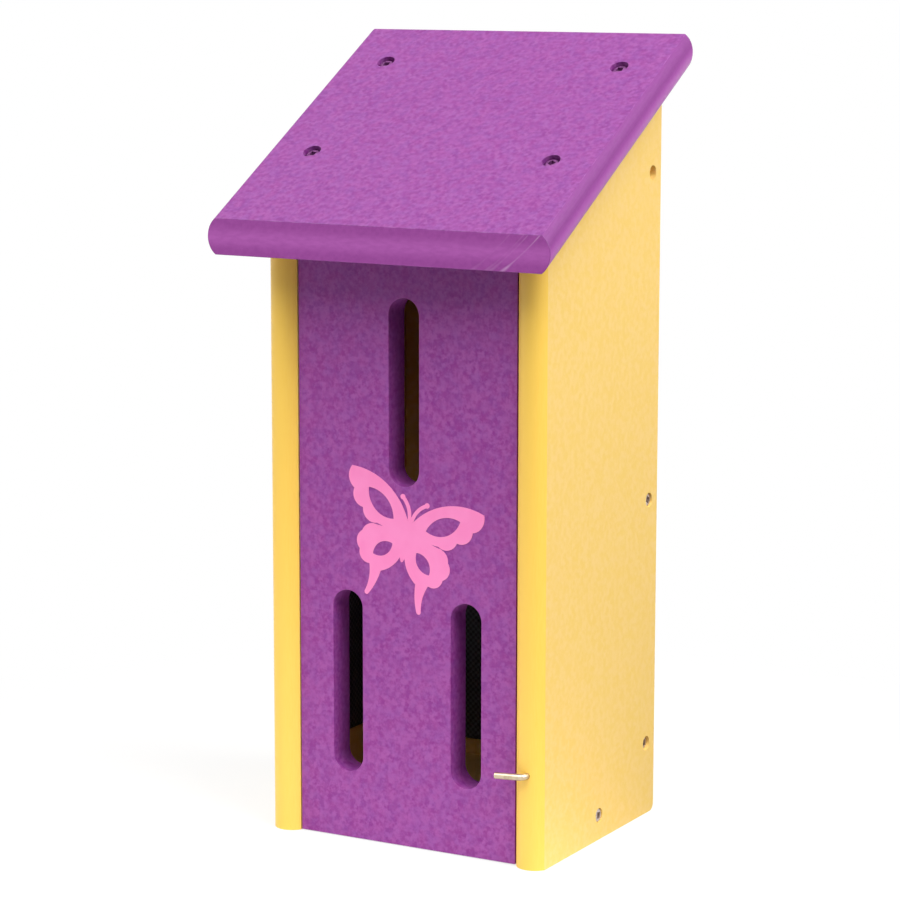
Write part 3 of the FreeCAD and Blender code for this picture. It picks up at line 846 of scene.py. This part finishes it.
# %% Geometry Nodes for one kind of screw
SCREW_SIZES = {
    "Head Radius": 3.6 * MM,
    "Head Height": 2.4 * MM,
    "Crown": 0.7 * MM,
    "Flat Radius": 2.4 * MM,
    "Drive Half": 1.6 * MM,
    "Drive Depth": 1.7 * MM,
    "Core Radius": 1.45 * MM,
    "Thread Radius": 2.05 * MM,
    "Length": 38.0 * MM,
    "Point": 6.0 * MM,
    "Pitch": 2.4 * MM,
}
screw_tree, given, result = new_group(
    "board_screws",
    "GeometryNodeTree",
    {"Holes": "Geometry", "Metal": "Material"} | {title: "Float" for title in SCREW_SIZES},
    {"Screws": "Geometry"},
)


def screw_calc(operation, *values):
    """A Math node in the screw's tree."""
    return calc(screw_tree, operation, *values)


def station(radius, height, square=0.0):
    """A ring of the turned shape: its radius, how square it is, and its height."""
    return add_node(screw_tree, "ShaderNodeCombineXYZ", {"X": radius, "Y": square, "Z": height}).outputs[0]


print("sizes of the screw:", len(SCREW_SIZES))

# %% [markdown]
# The stations run from the point up to the head, over its rounded crown and down into the square drive,
# which narrows a little and ends in a shallow cone, as a punch leaves it. Heights count from the top.

# %% The stations from the point to the drive
ON_AXIS = 0.0
CROWN_STEPS = 4
DRIVE_TAPER = 0.92
DRIVE_CONE = 1.15

under_head = screw_calc("MULTIPLY", given["Head Height"], -1.0)
tip = screw_calc("SUBTRACT", under_head, given["Length"])
point_top = screw_calc("ADD", tip, given["Point"])
shoulder = screw_calc("MULTIPLY", given["Crown"], -1.0)
crown_width = screw_calc("SUBTRACT", given["Head Radius"], given["Flat Radius"])
drive_floor = screw_calc("MULTIPLY", given["Drive Depth"], -1.0)
stations = [
    station(ON_AXIS, tip),
    station(given["Core Radius"], point_top),
    station(given["Core Radius"], under_head),
    station(given["Head Radius"], under_head),
    station(given["Head Radius"], shoulder),
]
for step in range(1, CROWN_STEPS + 1):
    angle = math.pi / 2 * step / CROWN_STEPS
    crown_radius = screw_calc("MULTIPLY_ADD", crown_width, math.cos(angle), given["Flat Radius"])
    stations.append(station(crown_radius, screw_calc("MULTIPLY", shoulder, 1 - math.sin(angle))))
stations += [
    station(given["Drive Half"], 0.0, 1.0),
    station(screw_calc("MULTIPLY", given["Drive Half"], DRIVE_TAPER), drive_floor, 1.0),
    station(ON_AXIS, screw_calc("MULTIPLY", drive_floor, DRIVE_CONE), 1.0),
]
print("stations on the screw:", len(stations))

# %% [markdown]
# A grid has one row for each station and one column for each step round the axis. The column gives an
# angle, and the row picks its station. A square ring is a round one divided by the larger of the angle's
# cosine and sine. Merging the points that meet closes the shape.

# %% Wrap the grid round the axis
SIDES = 32

rows = len(stations)
grid_size = {"Size X": float(SIDES), "Size Y": float(rows - 1)}
grid_count = {"Vertices X": SIDES + 1, "Vertices Y": rows}
grid = add_node(screw_tree, "GeometryNodeMeshGrid", grid_size | grid_count)
grid_place = screw_tree.nodes.new("GeometryNodeInputPosition").outputs[0]
grid_x, grid_y, _ = add_node(screw_tree, "ShaderNodeSeparateXYZ", {0: grid_place}).outputs
row = screw_calc("ROUND", screw_calc("ADD", grid_y, (rows - 1) / 2))
pick = add_node(screw_tree, "GeometryNodeIndexSwitch", data_type="VECTOR")
while len(pick.index_switch_items) < rows:
    pick.index_switch_items.new()
put(screw_tree, pick.inputs["Index"], row)
for socket, ring in zip(pick.inputs[1:], stations):
    put(screw_tree, socket, ring)
radius, square, height = add_node(screw_tree, "ShaderNodeSeparateXYZ", {0: pick.outputs[0]}).outputs
angle = screw_calc("MULTIPLY", grid_x, math.tau / SIDES)
cosine, sine = screw_calc("COSINE", angle), screw_calc("SINE", angle)
widest = screw_calc("MAXIMUM", screw_calc("ABSOLUTE", cosine), screw_calc("ABSOLUTE", sine))
round_share = screw_calc("SUBTRACT", 1.0, square)
squared = screw_calc("ADD", round_share, screw_calc("MULTIPLY", square, widest))
ring_radius = screw_calc("DIVIDE", radius, squared)
ring_x = screw_calc("MULTIPLY", ring_radius, cosine)
ring_y = screw_calc("MULTIPLY", ring_radius, sine)
wrapped = add_node(screw_tree, "ShaderNodeCombineXYZ", {"X": ring_x, "Y": ring_y, "Z": height})
turned_inputs = {"Geometry": grid.outputs["Mesh"], "Position": wrapped.outputs[0]}
turned = add_node(screw_tree, "GeometryNodeSetPosition", turned_inputs)
closed_inputs = {"Geometry": turned.outputs[0], "Distance": MERGE}
closed = add_node(screw_tree, "GeometryNodeMergeByDistance", closed_inputs)
print("grid:", rows, "rows of", SIDES, "sides")

# %% [markdown]
# The thread is a ridge that climbs round the core. A spiral curve of even radius gives its path, and a
# small four-sided ring is swept along it, half sunk in the core.

# %% Sweep the thread
TURN_SIDES = 20
RIDGE_SIDES = 4

thread_length = screw_calc("SUBTRACT", given["Length"], screw_calc("ADD", given["Point"], given["Pitch"]))
thread_depth = screw_calc("SUBTRACT", given["Thread Radius"], given["Core Radius"])
spiral = add_node(
    screw_tree,
    "GeometryNodeCurveSpiral",
    {
        "Resolution": TURN_SIDES,
        "Rotations": screw_calc("DIVIDE", thread_length, given["Pitch"]),
        "Start Radius": given["Core Radius"],
        "End Radius": given["Core Radius"],
        "Height": thread_length,
    },
)
ridge_inputs = {"Resolution": RIDGE_SIDES, "Radius": thread_depth}
ridge = add_node(screw_tree, "GeometryNodeCurvePrimitiveCircle", ridge_inputs)
thread_inputs = {"Curve": spiral.outputs[0], "Profile Curve": ridge.outputs[0], "Fill Caps": True}
thread = add_node(screw_tree, "GeometryNodeCurveToMesh", thread_inputs)
lift = add_node(screw_tree, "ShaderNodeCombineXYZ", {"Z": point_top})
lifted_inputs = {"Geometry": thread.outputs[0], "Translation": lift.outputs[0]}
lifted = add_node(screw_tree, "GeometryNodeTransform", lifted_inputs)
one_screw = screw_tree.nodes.new("GeometryNodeJoinGeometry")
put(screw_tree, one_screw.inputs[0], closed.outputs[0])
put(screw_tree, one_screw.inputs[0], lifted.outputs[0])
print("sides to a turn of the thread:", TURN_SIDES)

# %% [markdown]
# A copy goes on every hole, with its axis along the hole and a turn of its own, because nobody lines up
# the drives. The turns are random with a fixed seed, so they are the same in every run.

# %% Set a screw on every hole
DRIVE_SEED = 5
QUARTER_TURN = (0, 0, math.pi / 2)

hole_axis = add_node(
    screw_tree, "GeometryNodeInputNamedAttribute", {"Name": "axis"}, data_type="FLOAT_VECTOR"
)
aimed = add_node(
    screw_tree, "FunctionNodeAlignRotationToVector", {"Vector": hole_axis.outputs[0]}, axis="Z"
)
turn_inputs = {"Min": (0, 0, 0), "Max": QUARTER_TURN, "Seed": DRIVE_SEED}
turn = add_node(screw_tree, "FunctionNodeRandomValue", turn_inputs, data_type="FLOAT_VECTOR")
rolled_inputs = {"Rotation": aimed.outputs[0], "Rotate By": turn.outputs[0]}
rolled = add_node(screw_tree, "FunctionNodeRotateRotation", rolled_inputs, rotation_space="LOCAL")
copy_inputs = {"Points": given["Holes"], "Instance": one_screw.outputs[0], "Rotation": rolled.outputs[0]}
copies = add_node(screw_tree, "GeometryNodeInstanceOnPoints", copy_inputs)
real = add_node(screw_tree, "GeometryNodeRealizeInstances", {"Geometry": copies.outputs[0]})
coated_inputs = {"Geometry": real.outputs[0], "Material": given["Metal"]}
coated = add_node(screw_tree, "GeometryNodeSetMaterial", coated_inputs)
put(screw_tree, result["Screws"], coated.outputs[0])
print("nodes in the screw's tree:", len(screw_tree.nodes))

# %% [markdown]
# A modifier runs the tree on a mesh that has only points, one for each hole. Its inputs are set by their
# own identifiers before the result is read, and the result becomes a plain mesh with its faces turned
# outwards.

# %% Helpers that run a node tree
def input_name(tree, title):
    """A modifier's own name for one of the tree's inputs."""
    return next(item.identifier for item in tree.interface.items_tree if item.name == title)


def outward_faces(mesh):
    """Recalculates the normals of a mesh of closed shells."""
    edit = bmesh.new()
    edit.from_mesh(mesh)
    bmesh.ops.recalc_face_normals(edit, faces=edit.faces)
    edit.to_mesh(mesh)
    edit.free()


def grown(name, mesh, tree, inputs):
    """A plain mesh that a node tree makes from points or lines."""
    made = new_object(name, mesh)
    modifier = made.modifiers.new("grown", "NODES")
    modifier.node_group = tree
    for title, value in inputs.items():
        modifier[input_name(tree, title)] = value
    make_plain(made)
    outward_faces(made.data)
    shade(made.data)
    return made


# %% Drive the screws of each body
SCREW_SETS = {
    "roof_screws": ("house", ("roof_screw",), dull_steel),
    "pivot_screws": ("door", ("pivot_screw",), steel),
    "side_screws": ("house", ("back_screw", "floor_screw"), steel),
}
for name, (body, endings, metal) in SCREW_SETS.items():
    members = [node for node in screw_nodes if node.endswith(endings)]
    holes = bpy.data.meshes.new(name)
    holes.from_pydata([screw_places[member] for member in members], [], [])
    store(holes, "axis", "POINT", [screw_axes[member] for member in members])
    screws = grown(name, holes, screw_tree, {"Metal": metal} | SCREW_SIZES)
    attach(screws, body)
    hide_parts(*members)
    print(name, len(members), "screws,", len(screws.data.polygons), "faces")

# %% [markdown]
# ## The hook
# The hook is a piece of brass wire, cut off square, bent once over a former, and screwed into the edge
# of the right side board. Its line has a few points, and Geometry Nodes rounds the corner, sweeps the
# wire along it, files the cut end and draws the hidden stem to a point.

# %% Geometry Nodes for the bent wire
WIRE_SIDES = 28
BEND_STEPS = 12

wire_tree, given, result = new_group(
    "bent_wire",
    "GeometryNodeTree",
    {"Line": "Geometry", "Wire Radius": "Float", "Bend Radius": "Float", "Cut": "Float", "Point": "Float"},
    {"Wire": "Geometry"},
)


def less_at_end(start_size, end_size, share):
    """1 along the wire, and the given share at one of its ends."""
    sizes = {"Start Size": start_size, "End Size": end_size}
    end = add_node(wire_tree, "GeometryNodeCurveEndpointSelection", sizes).outputs[0]
    loss = calc(wire_tree, "SUBTRACT", share, 1.0)
    return calc(wire_tree, "MULTIPLY_ADD", end, loss, 1.0)


wire_line = add_node(wire_tree, "GeometryNodeMeshToCurve", {0: given["Line"]}).outputs[0]
bend = {"Radius": given["Bend Radius"], "Limit Radius": True, "Count": BEND_STEPS}
rounded = add_node(wire_tree, "GeometryNodeFilletCurve", {"Curve": wire_line} | bend, mode="POLY")
ring_inputs = {"Resolution": WIRE_SIDES, "Radius": given["Wire Radius"]}
ring = add_node(wire_tree, "GeometryNodeCurvePrimitiveCircle", ring_inputs)
cut_end = less_at_end(1, 0, given["Cut"])
pointed_end = less_at_end(0, 1, given["Point"])
swept = add_node(
    wire_tree,
    "GeometryNodeCurveToMesh",
    {
        "Curve": rounded.outputs[0],
        "Profile Curve": ring.outputs[0],
        "Scale": calc(wire_tree, "MULTIPLY", cut_end, pointed_end),
        "Fill Caps": True,
    },
)
real = add_node(wire_tree, "GeometryNodeRealizeInstances", {"Geometry": swept.outputs[0]})
polished = add_node(wire_tree, "GeometryNodeSetMaterial", {"Geometry": real.outputs[0], "Material": brass})
put(wire_tree, result["Wire"], polished.outputs[0])
print("nodes in the wire's tree:", len(wire_tree.nodes))

# %% [markdown]
# The wire's line is laid inside the box of the loaded hook, so the new hook has the old one's size. The
# arm droops a little from the stem, and the stem runs into the board.

# %% Bend the hook
FILED = 0.25 * MM
STEM_POINT = 4.0 * MM
WIRE_RADIUS = 1.7 * MM
WIRE_SIZES = {"Wire Radius": WIRE_RADIUS, "Bend Radius": 3.0 * MM, "Cut": 0.84, "Point": 0.08}
DROOP = math.radians(3.5)

hook_low, hook_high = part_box("latch_hook")
arm_y = hook_low.y + WIRE_RADIUS
arm_end = hook_low.x + WIRE_RADIUS * math.sin(DROOP)
stem_x = hook_high.x - WIRE_RADIUS
stem_z = hook_high.z - WIRE_RADIUS


def on_arm(x):
    """A point of the arm's middle line, which droops away from the stem."""
    return (x, arm_y, stem_z - (stem_x - x) * math.tan(DROOP))


hook_line = [
    on_arm(arm_end),
    on_arm(arm_end + FILED),
    on_arm(stem_x),
    (stem_x, hook_high.y - STEM_POINT, stem_z),
    (stem_x, hook_high.y, stem_z),
]
line_mesh = bpy.data.meshes.new("brass_hook")
line_mesh.from_pydata(hook_line, [(i, i + 1) for i in range(len(hook_line) - 1)], [])
hook = grown("brass_hook", line_mesh, wire_tree, WIRE_SIZES)
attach(hook, "latch")
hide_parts("latch_hook")
print("hook faces:", len(hook.data.polygons))

# %% [markdown]
# ## Black mats for the shade inside
# Through the lower slots the inside of the house lies in deep shade. Black mats on the side boards and
# on the back panel stand in for it as painted shade: dark sheets where there is only darkness. Their
# weave is only a quarter of a millimetre deep, so two crossing waves in the material draw it: where one
# thread dips, the other rises.

# %% Weave the mats
THREAD = 1.6 * MM
WEAVE_DEPTH = 0.25 * MM
# Painted shade: the mats are nearly black, so that the inside looks deep in shade through the slots.
SHADE_MAT_DARK = colour(0.034, 0.036, 0.040)
SHADE_MAT_PALE = colour(0.080, 0.086, 0.096)
MAT_ROUGHNESS = (0.75, 0.55)


def repaint(piece, paint):
    """Gives a loaded piece one material."""
    piece.data.materials.clear()
    piece.data.materials.append(paint)


shade_mat, tree, shader = new_material("painted_shade_mat_weave")
across, back, up = add_node(tree, "ShaderNodeSeparateXYZ", {0: object_place(tree)}).outputs
along_wall = calc(tree, "SUBTRACT", across, back)
over = calc(tree, "SINE", calc(tree, "MULTIPLY", along_wall, math.pi / THREAD))
under = calc(tree, "SINE", calc(tree, "MULTIPLY", up, math.pi / THREAD))
weave = fade(tree, calc(tree, "MULTIPLY", over, under), -1.0, 1.0)
put(tree, shader.inputs["Base Color"], mix(tree, weave, SHADE_MAT_DARK, SHADE_MAT_PALE))
put(tree, shader.inputs["Roughness"], fade(tree, weave, 0.0, 1.0, *MAT_ROUGHNESS))
add_bump(tree, shader, weave, WEAVE_DEPTH)
mats = [name for name in nodes if name.endswith("_climbing_mat")]
for name in mats:
    repaint(nodes[name], shade_mat)
print("mats:", len(mats))

# %% [markdown]
# ## The butterfly sticker
# A butterfly is cut from thin pink vinyl and pressed on the door, a little tilted. Its outline and its
# quarter millimetre of thickness are already in the loaded piece, so it only needs its material. Vinyl
# is smooth, and pressed on by hand it takes up a trace of the board's grain.

# %% Paint the sticker
VINYL_PINK = colour(0.930, 0.235, 0.530)
VINYL_PALE = colour(0.950, 0.260, 0.560)
VINYL_CLOUD = 12 * MM
VINYL_ROUGHNESS = (0.38, 0.46)
GRAIN_TRACE = 0.015 * MM

vinyl, tree, shader = new_material("pink_vinyl_film")
trace_inputs = {"Place": object_place(tree), "Speck Size": PURPLE["speck"], "Cloud Size": VINYL_CLOUD}
trace = add_group(tree, skin_group, trace_inputs)
put(tree, shader.inputs["Base Color"], mix(tree, trace["Clouds"], VINYL_PINK, VINYL_PALE))
put(tree, shader.inputs["Roughness"], fade(tree, trace["Specks"], 0.0, 1.0, *VINYL_ROUGHNESS))
add_bump(tree, shader, trace["Specks"], GRAIN_TRACE)
repaint(nodes["butterfly_decal"], vinyl)
print("sticker:", vinyl.name)
